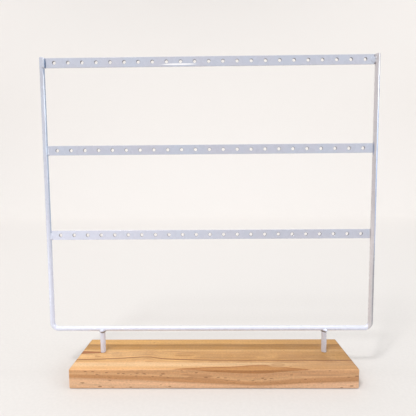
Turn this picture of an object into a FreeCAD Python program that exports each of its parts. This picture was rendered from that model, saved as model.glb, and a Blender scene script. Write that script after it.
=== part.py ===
import FreeCAD, Part

import os
from collections import namedtuple
from FreeCAD import Vector

# Earring display stand: a rod bent into a U, three punched bars welded between its uprights,
# and two short posts that carry it on a wooden base block.
# Sizes are in millimetres. X runs to the right, Y to the back and Z up. The origin is on the table,
# midway between the uprights and midway between the base's front and back.

# Wooden base block
BASE_SHORTFALL = 51.0  # how much shorter it is than the frame is wide
BASE_DEPTH = 56.5
BASE_THICKNESS = 18.0
BASE_CORNER_RADIUS = 1.4
BASE_TOP_EDGE_RADIUS = 0.8
BASE_BOTTOM_EDGE_BEVEL = 0.4
# The base sits slightly to the right of the middle of the frame
BASE_SHIFT = 2.2

# Bent rod
ROD_DIAMETER = 4.5
FRAME_WIDTH = 309.0  # between the centre lines of the uprights
BEND_RADIUS = 6.0  # to the centre line of the rod
ROD_END_BEVEL = 0.5
FRAME_SETBACK = 2.5  # from the middle of the base back to the plane of the frame
UPRIGHT_OVERRUN = 0.6  # how far the uprights stand above the top bar

# Heights, each from the piece below it
POST_RISE = 23.6  # from the base's top to the centre line of the bottom run
LOWER_BAR_RISE = 92.1  # from there to the middle of the lower bar
BAR_SPACING = 80.3  # from the middle of one bar to the next

# Punched bars
BAR_NAMES = ("lower_bar", "middle_bar", "top_bar")
BAR_HEIGHT = 8.8
BAR_THICKNESS = 1.5
BAR_EDGE_ROUNDING = 0.25
HOLE_DIAMETER = 3.0
HOLE_PITCH = 13.0
HOLE_END_MARGIN = 8.0  # least distance from a bar's end to the middle of its last hole
ROOT_GAP = 0.3  # between a bar's end and the upright, filled by the weld

# Posts
POST_DIAMETER = 5.0
POST_INSET = 21.1  # from the base's end to the post's centre line
POST_SADDLE_DEPTH = 0.9  # how far the post's top reaches up round the bottom run
POST_FOOT_BEVEL = 0.4

# Screws and washers, M3
SCREW_DIAMETER = 3.0
THREAD_CLEARANCE = 0.05  # all round, where the screw's thread fills the post's
THREAD_ENGAGEMENT = 6.5
THREAD_RUNOUT = 2.5  # depth of the post's hole beyond the screw's tip
SCREW_TIP_CHAMFER = 0.4
HEAD_DIAMETER = 5.6
HEAD_HEIGHT = 2.4
HEAD_RIM = 0.9  # straight part of the head before its crown
HEAD_CROWN_DIAMETER = 3.8
RECESS_SPAN = 3.0
RECESS_SLOT = 0.8
RECESS_DEPTH = 1.4
WASHER_DIAMETER = 7.0
WASHER_THICKNESS = 0.5
WASHER_CLEARANCE = 0.1  # round the screw
SHANK_CLEARANCE = 0.2  # round the screw in the wood
COUNTERBORE_DEPTH = 5.0
COUNTERBORE_CLEARANCE = 0.5  # round the washer

# Weld beads
BEAD_END_BEVEL = 0.5  # of the bead's radius
# Where a bead lies in the corner between a bar's end and an upright: its radius, how far its axis
# stands in front of the bar's middle plane, and how far from the corner towards the upright
Lay = namedtuple("Lay", "radius forward outward")
IN_CORNER = Lay(radius=1.7, forward=0.0, outward=0.0)
ON_FRONT = Lay(radius=2.0, forward=0.9, outward=0.6)
FROM_BEHIND = Lay(radius=1.6, forward=-1.1, outward=0.0)
# Of each bead at a bar's end: how much longer it is than the bar is high, how far its middle stands
# above the bar's middle, where it lies, and whether it has a puddle on the bar
Seam = namedtuple("Seam", "extra_length rise lay puddle")
SEAMS = {
    ("top_bar", "left"): Seam(extra_length=1.4, rise=-0.3, lay=ON_FRONT, puddle=False),
    ("top_bar", "right"): Seam(extra_length=-2.6, rise=-0.2, lay=IN_CORNER, puddle=True),
    ("middle_bar", "left"): Seam(extra_length=0.2, rise=-0.1, lay=IN_CORNER, puddle=False),
    ("middle_bar", "right"): Seam(extra_length=-1.0, rise=0.1, lay=FROM_BEHIND, puddle=False),
    ("lower_bar", "left"): Seam(extra_length=-2.0, rise=-0.9, lay=IN_CORNER, puddle=False),
    ("lower_bar", "right"): Seam(extra_length=-1.2, rise=-0.1, lay=FROM_BEHIND, puddle=False),
}
PUDDLE_RADIUS = 3.9
PUDDLE_CROWN_RADIUS = 1.8
PUDDLE_HEIGHT = 0.45
PUDDLE_INSET = 1.0  # from the bar's end to the puddle's middle
COLLAR_THICKNESS = 0.6  # round a post's top
COLLAR_LENGTH = 8.0  # along the bottom run
BLOB_RADIUS = 2.3
BLOB_HEIGHT = 5.4
BLOB_STAND_OUT = 1.2  # in front of the post

# Values worked out from those above
BASE_LENGTH = FRAME_WIDTH - BASE_SHORTFALL
ROD_RADIUS = ROD_DIAMETER / 2
POST_RADIUS = POST_DIAMETER / 2
BOTTOM_RUN_Z = BASE_THICKNESS + POST_RISE
BAR_HEIGHTS = [BOTTOM_RUN_Z + LOWER_BAR_RISE + i * BAR_SPACING for i in range(len(BAR_NAMES))]
FRAME_TOP_Z = BAR_HEIGHTS[-1] + BAR_HEIGHT / 2 + UPRIGHT_OVERRUN
UPRIGHT_X = FRAME_WIDTH / 2
UPRIGHT_FACE_X = UPRIGHT_X - ROD_RADIUS
BAR_END_X = UPRIGHT_FACE_X - ROOT_GAP
HOLE_COUNT = int((2 * BAR_END_X - 2 * HOLE_END_MARGIN) // HOLE_PITCH) + 1
POST_OFFSET = BASE_LENGTH / 2 - POST_INSET
SIDES = {"left": -1, "right": 1}
WASHER_FACE_Z = COUNTERBORE_DEPTH
HEAD_SEAT_Z = WASHER_FACE_Z - WASHER_THICKNESS
SCREW_TIP_Z = BASE_THICKNESS + THREAD_ENGAGEMENT
UP = Vector(0, 0, 1)
TO_BACK = Vector(0, 1, 0)
TO_RIGHT = Vector(1, 0, 0)


def post_x(side):
    """Distance of a post's centre line from the middle of the frame."""
    return BASE_SHIFT + SIDES[side] * POST_OFFSET


def cylinder(radius, start, direction, length):
    return Part.makeCylinder(radius, length, start, direction)


def bead(centre, direction, length, radius):
    """Weld metal: a cylinder about its centre, bevelled at both ends."""
    metal = cylinder(radius, centre - direction * (length / 2), direction, length)
    rims = [edge for edge in metal.Edges if isinstance(edge.Curve, Part.Circle)]
    return metal.makeChamfer(radius * BEAD_END_BEVEL, rims)


def edges_on_plane(shape, axis, value):
    """The edges of a shape that lie wholly in the plane axis = value."""
    found = []
    for edge in shape.Edges:
        box = edge.BoundBox
        low = getattr(box, axis + "Min")
        high = getattr(box, axis + "Max")
        if abs(low - value) < 1e-4 and abs(high - value) < 1e-4:
            found.append(edge)
    return found


def make_base_board():
    """The wooden block with eased edges, and a counterbored hole under each post."""
    corner = Vector(BASE_SHIFT - BASE_LENGTH / 2, -BASE_DEPTH / 2, 0)
    block = Part.makeBox(BASE_LENGTH, BASE_DEPTH, BASE_THICKNESS, corner)
    uprights = [edge for edge in block.Edges if edge.BoundBox.ZLength > BASE_THICKNESS / 2]
    block = block.makeFillet(BASE_CORNER_RADIUS, uprights)
    block = block.makeFillet(BASE_TOP_EDGE_RADIUS, edges_on_plane(block, "Z", BASE_THICKNESS))
    block = block.makeChamfer(BASE_BOTTOM_EDGE_BEVEL, edges_on_plane(block, "Z", 0))
    hole_radius = SCREW_DIAMETER / 2 + SHANK_CLEARANCE
    counterbore_radius = WASHER_DIAMETER / 2 + COUNTERBORE_CLEARANCE
    for side in SIDES:
        foot = Vector(post_x(side), FRAME_SETBACK, 0)
        block = block.cut(cylinder(hole_radius, foot, UP, BASE_THICKNESS))
        block = block.cut(cylinder(counterbore_radius, foot, UP, COUNTERBORE_DEPTH))
    return block


def make_frame_rod():
    """The round rod: two uprights with bevelled ends, the bottom run, and a bend at each corner."""
    run_x = UPRIGHT_X - BEND_RADIUS
    bend_z = BOTTOM_RUN_Z + BEND_RADIUS
    left_end = Vector(-run_x, FRAME_SETBACK, BOTTOM_RUN_Z)
    stretches = [cylinder(ROD_RADIUS, left_end, TO_RIGHT, 2 * run_x)]
    for sign in SIDES.values():
        foot = Vector(sign * UPRIGHT_X, FRAME_SETBACK, bend_z)
        upright = cylinder(ROD_RADIUS, foot, UP, FRAME_TOP_Z - bend_z)
        upright = upright.makeChamfer(ROD_END_BEVEL, edges_on_plane(upright, "Z", FRAME_TOP_Z))
        section = Part.Face(Part.Wire(Part.makeCircle(ROD_RADIUS, foot, UP)))
        bend_centre = Vector(sign * run_x, FRAME_SETBACK, bend_z)
        stretches.append(upright)
        stretches.append(section.revolve(bend_centre, TO_BACK * sign, 90))
    return stretches[0].fuse(stretches[1:])


def straight_rods():
    """The uprights and the bottom run as plain cylinders, to cut what is fitted to them."""
    y = FRAME_SETBACK
    rods = []
    for sign in SIDES.values():
        foot = Vector(sign * UPRIGHT_X, y, BOTTOM_RUN_Z)
        rods.append(cylinder(ROD_RADIUS, foot, UP, FRAME_TOP_Z - BOTTOM_RUN_Z))
    left_end = Vector(-UPRIGHT_X, y, BOTTOM_RUN_Z)
    rods.append(cylinder(ROD_RADIUS, left_end, TO_RIGHT, FRAME_WIDTH))
    return rods


def make_bar(z):
    """A flat strip with eased long edges and one row of round holes."""
    front_y = FRAME_SETBACK - BAR_THICKNESS / 2
    corner = Vector(-BAR_END_X, front_y, z - BAR_HEIGHT / 2)
    bar = Part.makeBox(2 * BAR_END_X, BAR_THICKNESS, BAR_HEIGHT, corner)
    long_edges = [edge for edge in bar.Edges if edge.BoundBox.XLength > BAR_END_X]
    bar = bar.makeFillet(BAR_EDGE_ROUNDING, long_edges)
    first_x = -HOLE_PITCH * (HOLE_COUNT - 1) / 2
    punches = []
    for i in range(HOLE_COUNT):
        start = Vector(first_x + i * HOLE_PITCH, front_y, z)
        punches.append(cylinder(HOLE_DIAMETER / 2, start, TO_BACK, BAR_THICKNESS))
    return bar.cut(Part.makeCompound(punches))


def make_post(side):
    """A short post: saddled to the bottom run above, with a threaded hole from below."""
    foot = Vector(post_x(side), FRAME_SETBACK, BASE_THICKNESS)
    height = POST_RISE - ROD_RADIUS + POST_SADDLE_DEPTH
    post = cylinder(POST_RADIUS, foot, UP, height)
    post = post.makeChamfer(POST_FOOT_BEVEL, edges_on_plane(post, "Z", BASE_THICKNESS))
    thread = cylinder(SCREW_DIAMETER / 2, foot, UP, THREAD_ENGAGEMENT + THREAD_RUNOUT)
    return post.cut([thread] + straight_rods())


def make_washer(side):
    """A plain flat washer against the ceiling of the counterbore."""
    seat = Vector(post_x(side), FRAME_SETBACK, HEAD_SEAT_Z)
    ring = cylinder(WASHER_DIAMETER / 2, seat, UP, WASHER_THICKNESS)
    return ring.cut(cylinder(SCREW_DIAMETER / 2 + WASHER_CLEARANCE, seat, UP, WASHER_THICKNESS))


def cross_outline(z):
    """The outline of a cross recess: four arms of the slot's width."""
    arm = RECESS_SPAN / 2
    half = RECESS_SLOT / 2
    quarter = [Vector(arm, -half, z), Vector(arm, half, z), Vector(half, half, z)]
    points = []
    for quadrant in range(4):
        turn = FreeCAD.Rotation(UP, quadrant * 90)
        points += [turn.multVec(point) for point in quarter]
    return Part.makePolygon(points + points[:1])


def make_screw(side):
    """A pan-head machine screw, head down, with a cross recess. Its thread is left plain."""
    shank_radius = SCREW_DIAMETER / 2 - THREAD_CLEARANCE
    tip_z = SCREW_TIP_Z - HEAD_SEAT_Z
    profile = [
        (0, -HEAD_HEIGHT),
        (HEAD_CROWN_DIAMETER / 2, -HEAD_HEIGHT),
        (HEAD_DIAMETER / 2, -HEAD_RIM),
        (HEAD_DIAMETER / 2, 0),
        (shank_radius, 0),
        (shank_radius, tip_z - SCREW_TIP_CHAMFER),
        (shank_radius - SCREW_TIP_CHAMFER, tip_z),
        (0, tip_z),
    ]
    corners = [Vector(radius, 0, height) for radius, height in profile]
    outline = Part.makePolygon(corners + corners[:1])
    screw = Part.Face(outline).revolve(Vector(0, 0, 0), UP, 360)
    recess = Part.Face(cross_outline(-HEAD_HEIGHT)).extrude(UP * RECESS_DEPTH)
    screw = screw.cut(recess)
    screw.translate(Vector(post_x(side), FRAME_SETBACK, HEAD_SEAT_Z))
    return screw


def bar_end_seam(side, z, seam):
    """A bead of weld metal standing in the corner between an upright and a bar's end."""
    x = SIDES[side] * (UPRIGHT_FACE_X - ROOT_GAP / 2 + seam.lay.outward)
    y = FRAME_SETBACK - seam.lay.forward
    return bead(Vector(x, y, z), UP, BAR_HEIGHT + seam.extra_length, seam.lay.radius)


def puddle(side, z):
    """A shallow round spread of weld metal on a bar's front face, next to the upright."""
    front_y = FRAME_SETBACK - BAR_THICKNESS / 2
    centre = Vector(SIDES[side] * (BAR_END_X - PUDDLE_INSET), front_y, z)
    return Part.makeCone(PUDDLE_RADIUS, PUDDLE_CROWN_RADIUS, PUDDLE_HEIGHT, centre, -TO_BACK)


def fitted(weld, bars):
    """Weld metal with the rods and bars that it lies against taken out of it."""
    return weld.cut(straight_rods() + bars)


def make_bar_welds(bars):
    """The six beads at the bars' ends, each fitted to its upright and its bar."""
    welds = {}
    for (bar, side), seam in SEAMS.items():
        z = BAR_HEIGHTS[BAR_NAMES.index(bar)] + seam.rise
        weld = bar_end_seam(side, z, seam)
        if seam.puddle:
            weld = weld.fuse(puddle(side, z))
        welds[f"{bar}_{side}_weld"] = fitted(weld, [bars[bar]])
    return welds


def make_post_weld(side, post):
    """The bead round a post's top, winged along the bottom run, with a blob on its front."""
    joint = Vector(post_x(side), FRAME_SETBACK, BOTTOM_RUN_Z - ROD_RADIUS)
    collar = bead(joint, TO_RIGHT, COLLAR_LENGTH, POST_RADIUS + COLLAR_THICKNESS)
    blob_centre = joint - TO_BACK * (POST_RADIUS + BLOB_STAND_OUT - BLOB_RADIUS)
    blob = bead(blob_centre, UP, BLOB_HEIGHT, BLOB_RADIUS)
    return fitted(collar.fuse(blob), [post])


def main():
    bars = {name: make_bar(z) for name, z in zip(BAR_NAMES, BAR_HEIGHTS)}
    posts = {side: make_post(side) for side in SIDES}
    pieces = {"base_board": make_base_board(), "frame_rod": make_frame_rod()}
    pieces.update(bars)
    pieces.update(make_bar_welds(bars))
    for side, post in posts.items():
        pieces[f"{side}_post"] = post
        pieces[f"{side}_post_weld"] = make_post_weld(side, post)
        pieces[f"{side}_washer"] = make_washer(side)
        pieces[f"{side}_screw"] = make_screw(side)
    os.makedirs("parts", exist_ok=True)
    for name, shape in pieces.items():
        shape.exportStep(f"parts/{name}.step")
        box = shape.BoundBox
        size = f"{box.XLength:.2f} x {box.YLength:.2f} x {box.ZLength:.2f}"
        print(f"{name}: {size} mm, {len(shape.Solids)} solid, {shape.Volume:.1f} mm3, valid {shape.isValid()}")


main()
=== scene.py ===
"""Earring display stand: a painted rod frame with punched bars on an oiled wooden base block."""

import logging
import math
from collections.abc import Iterator
from contextlib import contextmanager
from dataclasses import dataclass
from enum import Enum

import bpy
from mathutils import Matrix, Vector


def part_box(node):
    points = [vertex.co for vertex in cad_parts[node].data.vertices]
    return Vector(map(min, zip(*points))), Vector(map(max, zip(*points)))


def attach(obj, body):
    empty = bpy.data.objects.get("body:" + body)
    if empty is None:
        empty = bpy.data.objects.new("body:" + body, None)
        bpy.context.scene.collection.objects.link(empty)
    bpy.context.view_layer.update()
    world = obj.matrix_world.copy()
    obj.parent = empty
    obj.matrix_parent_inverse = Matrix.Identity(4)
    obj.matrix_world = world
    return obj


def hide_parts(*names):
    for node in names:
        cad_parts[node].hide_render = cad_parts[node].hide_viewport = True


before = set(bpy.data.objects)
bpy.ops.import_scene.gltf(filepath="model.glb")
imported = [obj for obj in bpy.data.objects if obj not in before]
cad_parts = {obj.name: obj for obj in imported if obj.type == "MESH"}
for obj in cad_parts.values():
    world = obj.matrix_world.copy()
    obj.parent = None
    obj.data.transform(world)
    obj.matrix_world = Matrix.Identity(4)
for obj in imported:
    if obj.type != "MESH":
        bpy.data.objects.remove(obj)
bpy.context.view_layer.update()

LOG = logging.getLogger("earring_stand")
MM = 0.001
ROOT_BODY = "root"
HOLE_COUNT = 23
HOLE_PITCH = 13.0 * MM
HOLE_RADIUS = 1.5 * MM

Colour = tuple[float, float, float, float]
Pair = tuple[float, float]
Triple = tuple[float, float, float]
Pairs = tuple[Pair, ...]
Socket = bpy.types.NodeSocket
Node = bpy.types.Node
Tree = bpy.types.NodeTree
Material = bpy.types.Material
Piece = bpy.types.Object

# Two values, and the two that they are moved to.
Shift = tuple[float, float, float, float]


def srgb(red: int, green: int, blue: int) -> Colour:
    """Turns a colour as a picture shows it into the linear values that shaders take.

    Args:
        red: Red, from 0 to 255.
        green: Green, from 0 to 255.
        blue: Blue, from 0 to 255.

    Returns:
        The linear colour, opaque.
    """
    linear = [((c / 255 + 0.055) / 1.055) ** 2.4 if c > 10 else c / 255 / 12.92 for c in (red, green, blue)]
    return (linear[0], linear[1], linear[2], 1.0)


class Side(Enum):
    """The two sides of the stand, by the sign of X."""

    LEFT = -1
    RIGHT = 1

    @property
    def word(self) -> str:
        """The side's name as the nodes' names spell it."""
        return self.name.lower()


class Level(Enum):
    """The three punched bars."""

    LOWER = "lower_bar"
    MIDDLE = "middle_bar"
    TOP = "top_bar"


@dataclass(frozen=True)
class Space:
    """The box that a node of the frame fills, in metres."""

    low: Vector
    high: Vector

    @classmethod
    def of(cls, node: str) -> "Space":
        """Reads a node's box from the frame."""
        low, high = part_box(node)
        return cls(Vector(low), Vector(high))

    @property
    def middle(self) -> Vector:
        """The box's middle."""
        return (self.low + self.high) / 2

    @property
    def size(self) -> Vector:
        """The box's extents."""
        return self.high - self.low

    @property
    def foot(self) -> Vector:
        """The middle of the box's underside."""
        return Vector((self.middle.x, self.middle.y, self.low.z))


# Modelling by operators


def deselect() -> None:
    """Leaves edit mode and selects nothing."""
    if bpy.context.object and bpy.context.object.mode != "OBJECT":
        bpy.ops.object.mode_set(mode="OBJECT")
    bpy.ops.object.select_all(action="DESELECT")


def pick(piece: Piece) -> None:
    """Makes one piece the only selected and the active one."""
    deselect()
    piece.select_set(True)
    bpy.context.view_layer.objects.active = piece


@contextmanager
def editing(piece: Piece) -> Iterator[None]:
    """Opens a piece's mesh for editing and closes it afterwards."""
    pick(piece)
    bpy.ops.object.mode_set(mode="EDIT")
    yield
    bpy.ops.object.mode_set(mode="OBJECT")


def fix_place(piece: Piece) -> None:
    """Puts a piece's place, turn and scale into its mesh."""
    pick(piece)
    bpy.ops.object.transform_apply(location=True, rotation=True, scale=True)


def modify(piece: Piece, kind: str, **settings: object) -> None:
    """Adds a modifier to a piece and applies it.

    Args:
        piece: The piece to change.
        kind: Blender's name of the modifier's type.
        settings: The modifier's own values by name.
    """
    pick(piece)
    modifier = piece.modifiers.new(kind.title(), kind)
    for name, value in settings.items():
        setattr(modifier, name, value)
    bpy.ops.object.modifier_apply(modifier=modifier.name)


def smooth_shade(piece: Piece) -> None:
    """Shades a piece smoothly and keeps its flats flat."""
    pick(piece)
    bpy.ops.object.shade_smooth()
    modify(piece, "WEIGHTED_NORMAL", weight=90, keep_sharp=False)


def ease_edges(piece: Piece, width: float, segments: int = 3, angle: float = 35.0) -> None:
    """Rounds a piece's sharp edges and keeps its flats flat.

    Args:
        piece: The piece to round.
        width: The rounding's width, in metres.
        segments: How many faces make the rounding.
        angle: Edges sharper than this are rounded, in degrees.
    """
    modify(
        piece, "BEVEL", width=width, segments=segments, limit_method="ANGLE",
        angle_limit=math.radians(angle), use_clamp_overlap=True,
    )
    smooth_shade(piece)


def block(low: Vector, high: Vector) -> Piece:
    """Adds a block between two corners."""
    deselect()
    bpy.ops.mesh.primitive_cube_add(size=1, location=(low + high) / 2, scale=high - low)
    piece = bpy.context.object
    fix_place(piece)
    return piece


def drill(piece: Piece, tool: Piece) -> None:
    """Cuts a tool's shape out of a piece and removes the tool."""
    modify(piece, "BOOLEAN", object=tool, operation="DIFFERENCE", solver="EXACT")
    bpy.data.objects.remove(tool)


def weld_doubles(piece: Piece) -> None:
    """Merges a piece's doubled points and turns its faces outwards."""
    with editing(piece):
        bpy.ops.mesh.select_all(action="SELECT")
        bpy.ops.mesh.remove_doubles(threshold=1e-6)
        bpy.ops.mesh.normals_make_consistent(inside=False)


def turned(centre: Vector, profile: list[Pair], segments: int = 48) -> Piece:
    """Turns a piece about an upright axis, ring by ring, and closes its ends.

    Args:
        centre: A point on the axis at height zero of the profile.
        profile: Radius and height of each ring from the bottom up, in metres.
        segments: How many faces go round.

    Returns:
        The turned piece.
    """
    deselect()
    radius, height = profile[0]
    start = centre + Vector((0, 0, height))
    bpy.ops.mesh.primitive_circle_add(vertices=segments, radius=radius, fill_type="NGON", location=start)
    piece = bpy.context.object
    fix_place(piece)
    with editing(piece):
        bpy.ops.mesh.select_all(action="SELECT")
        for next_radius, next_height in profile[1:]:
            grow = next_radius / radius
            middle = centre + Vector((0, 0, next_height))
            bpy.ops.mesh.extrude_region_move(TRANSFORM_OT_translate={"value": (0, 0, next_height - height)})
            bpy.ops.transform.resize(value=(grow, grow, 1), center_override=middle)
            radius, height = next_radius, next_height
    weld_doubles(piece)
    return piece


def join(pieces: list[Piece]) -> Piece:
    """Joins pieces into the first of them."""
    pick(pieces[0])
    for piece in pieces[1:]:
        piece.select_set(True)
    bpy.ops.object.join()
    return pieces[0]


def copy_to(piece: Piece, shift: Vector) -> Piece:
    """Copies a piece with a mesh of its own and moves that mesh."""
    pick(piece)
    bpy.ops.object.duplicate(linked=False)
    copy = bpy.context.object
    copy.location = shift
    fix_place(copy)
    return copy


# Shading

# A Mix node has a pair of inputs for each kind of data. These are the places of the colours' sockets.
MIX_COLOURS = (6, 7)
MIX_RESULT = 2


@dataclass(frozen=True)
class Wire:
    """A value on its way between nodes. A sum on it places the node that works it out."""

    desk: "Desk"
    socket: Socket

    def __add__(self, other: object) -> "Wire":
        """Adds a value."""
        return self.desk.math("ADD", self, other)

    def __sub__(self, other: object) -> "Wire":
        """Takes a value away."""
        return self.desk.math("SUBTRACT", self, other)

    def __mul__(self, other: object) -> "Wire":
        """Multiplies by a value."""
        return self.desk.math("MULTIPLY", self, other)

    def __truediv__(self, other: object) -> "Wire":
        """Divides by a value."""
        return self.desk.math("DIVIDE", self, other)

    def __abs__(self) -> "Wire":
        """Drops the sign."""
        return self.desk.math("ABSOLUTE", self)

    def slide(
        self, low: float, high: float, start: object = 0.0, end: object = 1.0, way: str = "LINEAR"
    ) -> "Wire":
        """Moves the value from one range to another, with no overshoot and as a rule in a straight line."""
        return self.desk.wire("MapRange", self, low, high, start, end, interpolation_type=way)

    def ease(self, low: float, high: float, start: object = 0.0, end: object = 1.0) -> "Wire":
        """Eases the value from one range to another, with no overshoot."""
        return self.slide(low, high, start, end, "SMOOTHSTEP")


@dataclass(frozen=True)
class Fade:
    """A soft rise from nothing at one value to a share at another, which may be the smaller one."""

    start: float
    end: float
    share: float = 1.0

    def over(self, value: Wire) -> Wire:
        """Works out how far the rise has come."""
        return value.ease(self.start, self.end, 0.0, self.share)

    def straight(self, value: Wire) -> Wire:
        """Works out the same for a rise in a straight line."""
        return value.slide(self.start, self.end, 0.0, self.share)


@dataclass
class Desk:
    """Places and links the nodes of one material or group."""

    tree: Tree

    def put(self, kind: str, *fed: object, **settings: object) -> Node:
        """Adds a node.

        Args:
            kind: Its kind, without the prefix that all shader nodes share.
            fed: What its first inputs get, in their order.
            settings: Its own settings by name.

        Returns:
            The node.
        """
        node = self.tree.nodes.new("ShaderNode" + kind)
        for name, value in settings.items():
            setattr(node, name, value)
        for socket, value in zip(node.inputs, fed):
            self.feed(socket, value)
        return node

    def wire(self, kind: str, *fed: object, **settings: object) -> Wire:
        """Adds a node and returns its first output."""
        return Wire(self, self.put(kind, *fed, **settings).outputs[0])

    def feed(self, socket: Socket, value: object) -> None:
        """Links a wire to a socket, or sets the socket's own value."""
        if isinstance(value, Wire):
            self.tree.links.new(value.socket, socket)
        else:
            socket.default_value = value

    def math(self, operation: str, *values: object) -> Wire:
        """Works out one sum."""
        return self.wire("Math", *values, operation=operation)

    def distance(self, first: Wire, second: Wire) -> Wire:
        """Works out how far two offsets at right angles reach."""
        return self.math("SQRT", first * first + second * second)

    def mix(self, factor: object, first: object, second: object, blend: str = "MIX") -> Wire:
        """Mixes two colours."""
        node = self.put("Mix", factor, data_type="RGBA", blend_type=blend)
        for index, colour in zip(MIX_COLOURS, (first, second)):
            self.feed(node.inputs[index], colour)
        return Wire(self, node.outputs[MIX_RESULT])

    def noise(self, vector: Wire, scale: object, detail: float = 2.0, roughness: float = 0.5) -> Wire:
        """Adds soft noise."""
        node = self.put("TexNoise", vector)
        for name, value in (("Scale", scale), ("Detail", detail), ("Roughness", roughness)):
            self.feed(node.inputs[name], value)
        return Wire(self, node.outputs[0])

    def combine(self, x: object, y: object, z: object = 0.0) -> Wire:
        """Makes a vector of three values."""
        return self.wire("CombineXYZ", x, y, z)

    def split(self, vector: Wire) -> list[Wire]:
        """Takes a vector's three values apart."""
        return [Wire(self, socket) for socket in self.put("SeparateXYZ", vector).outputs]

    def scaled(self, vector: Wire, factor: object) -> Wire:
        """Multiplies a vector or a colour by one factor."""
        node = self.put("VectorMath", vector, operation="SCALE")
        self.feed(node.inputs["Scale"], factor)
        return Wire(self, node.outputs[0])

    def ramp(self, value: Wire, stops: list[tuple[float, Colour]]) -> Wire:
        """Colours a value by stops from 0 to 1.

        Args:
            value: The value to colour.
            stops: Place and colour of each stop, in rising order.

        Returns:
            The colour.
        """
        node = self.put("ValToRGB", value)
        elements = node.color_ramp.elements
        while len(elements) < len(stops):
            elements.new(1.0)
        for element, (place, colour) in zip(elements, stops):
            element.position = place
            element.color = colour
        return Wire(self, node.outputs[0])

    def path(self, value: Wire, swing: float, points: Pairs) -> Wire:
        """Follows a smooth curve through given points.

        Args:
            value: Where along the curve, in the points' own units.
            swing: The most that the curve departs from zero either way.
            points: Place and height of each point.

        Returns:
            The curve's height.
        """
        first = points[0][0]
        length = points[-1][0] - first
        node = self.put("FloatCurve")
        curve = node.mapping.curves[0]
        while len(curve.points) < len(points):
            curve.points.new(0.5, 0.5)
        for point, (place, height) in zip(curve.points, points):
            point.location = ((place - first) / length, 0.5 + height / (2 * swing))
        node.mapping.update()
        self.feed(node.inputs["Value"], (value - first) / length)
        return (Wire(self, node.outputs[0]) - 0.5) * (2 * swing)

    def group(self, tree: Tree, **inputs: object) -> Wire:
        """Places a node group, feeds its inputs by name and returns its output."""
        node = self.put("Group")
        node.node_tree = tree
        for name, value in inputs.items():
            self.feed(node.inputs[name.replace("_", " ").capitalize()], value)
        return Wire(self, node.outputs[0])

    def coordinates(self, kind: str) -> Wire:
        """Reads the surface's own coordinates of a kind."""
        return Wire(self, self.put("TexCoord").outputs[kind])

    def object_mm(self) -> Wire:
        """The place on the piece in millimetres."""
        return self.scaled(self.coordinates("Object"), 1 / MM)

    def emboss(self, shader: Node, height: Wire, strength: float, depth: float) -> None:
        """Gives a shader's surface a fine relief.

        Args:
            shader: The shader.
            height: The relief's height, from 0 to about 1.
            strength: How strongly it shows.
            depth: What a height of 1 stands for, in metres.
        """
        bump = self.put("Bump")
        bump.inputs["Strength"].default_value = strength
        bump.inputs["Distance"].default_value = depth
        self.feed(bump.inputs["Height"], height)
        self.feed(shader.inputs["Normal"], Wire(self, bump.outputs[0]))


def new_group(name: str, kinds: dict[str, str], result: str) -> tuple[Desk, list[Wire], Socket]:
    """Starts a node group with named sockets.

    Args:
        name: The group's name.
        kinds: The type of each input by its name.
        result: The name of its output, a value.

    Returns:
        A desk on the new group, a wire from each input, and the output's socket.
    """
    tree = bpy.data.node_groups.new(name, "ShaderNodeTree")
    for label, kind in kinds.items():
        tree.interface.new_socket(name=label, in_out="INPUT", socket_type="NodeSocket" + kind)
    tree.interface.new_socket(name=result, in_out="OUTPUT", socket_type="NodeSocketFloat")
    desk = Desk(tree)
    start = tree.nodes.new("NodeGroupInput")
    end = tree.nodes.new("NodeGroupOutput")
    return desk, [Wire(desk, start.outputs[label]) for label in kinds], end.inputs[result]


# How much of the noise's range the cloudy unevenness spreads out, and where a patch's edge ends and begins.
CLOUD_RANGE = (0.3, 0.7)
PATCH_EDGE = (1.25, 0.75)


def make_mottle() -> Tree:
    """Makes the group for cloudy unevenness of a finish, from Low to High."""
    kinds = {"Vector": "Vector", "Scale": "Float", "Low": "Float", "High": "Float"}
    desk, (vector, scale, low, high), value = new_group("mottle", kinds, "Value")
    desk.feed(value, desk.noise(vector, scale, detail=4.0).ease(*CLOUD_RANGE, low, high))
    return desk.tree


def make_relief() -> Tree:
    """Makes the group for the fine relief of a finish: its height, from two sizes of noise."""
    kinds = {"Vector": "Vector", "Coarse": "Float", "Fine": "Float", "Fine share": "Float"}
    desk, (vector, coarse, fine, fine_share), height = new_group("fine_relief", kinds, "Height")
    large, small = (desk.noise(vector, size, detail=3.0) for size in (coarse, fine))
    desk.feed(height, large + small * fine_share)
    return desk.tree


def make_patch() -> Tree:
    """Makes the group for a soft-edged patch round a place: 1 inside its reach, 0 outside."""
    kinds = {"Vector": "Vector", "Centre": "Vector", "Reach": "Vector"}
    desk, (vector, centre, reach), value = new_group("soft_patch", kinds, "Value")
    off = desk.wire("VectorMath", vector, centre, operation="SUBTRACT")
    share = desk.wire("VectorMath", off, reach, operation="DIVIDE")
    size = desk.put("VectorMath", share, operation="LENGTH").outputs["Value"]
    desk.feed(value, Wire(desk, size).ease(*PATCH_EDGE))
    return desk.tree


@dataclass(frozen=True)
class Effects:
    """The node groups that the finishes use."""

    mottle: Tree
    relief: Tree
    patch: Tree

    @classmethod
    def make(cls) -> "Effects":
        """Builds each group once."""
        return cls(make_mottle(), make_relief(), make_patch())

    def mottled(self, place: Wire, scale: float, low: float = 0.0, high: float = 1.0) -> Wire:
        """Lays cloudy unevenness between two values."""
        return place.desk.group(self.mottle, vector=place, scale=scale, low=low, high=high)

    def rough(self, place: Wire, coarse: float, fine: float, fine_share: float) -> Wire:
        """Lays the fine relief of a finish."""
        return place.desk.group(self.relief, vector=place, coarse=coarse, fine=fine, fine_share=fine_share)

    def spot(self, place: Wire, centre: tuple[float, ...], reach: tuple[float, ...]) -> Wire:
        """Masks a soft-edged spot."""
        return place.desk.group(self.patch, vector=place, centre=centre, reach=reach)


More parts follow.
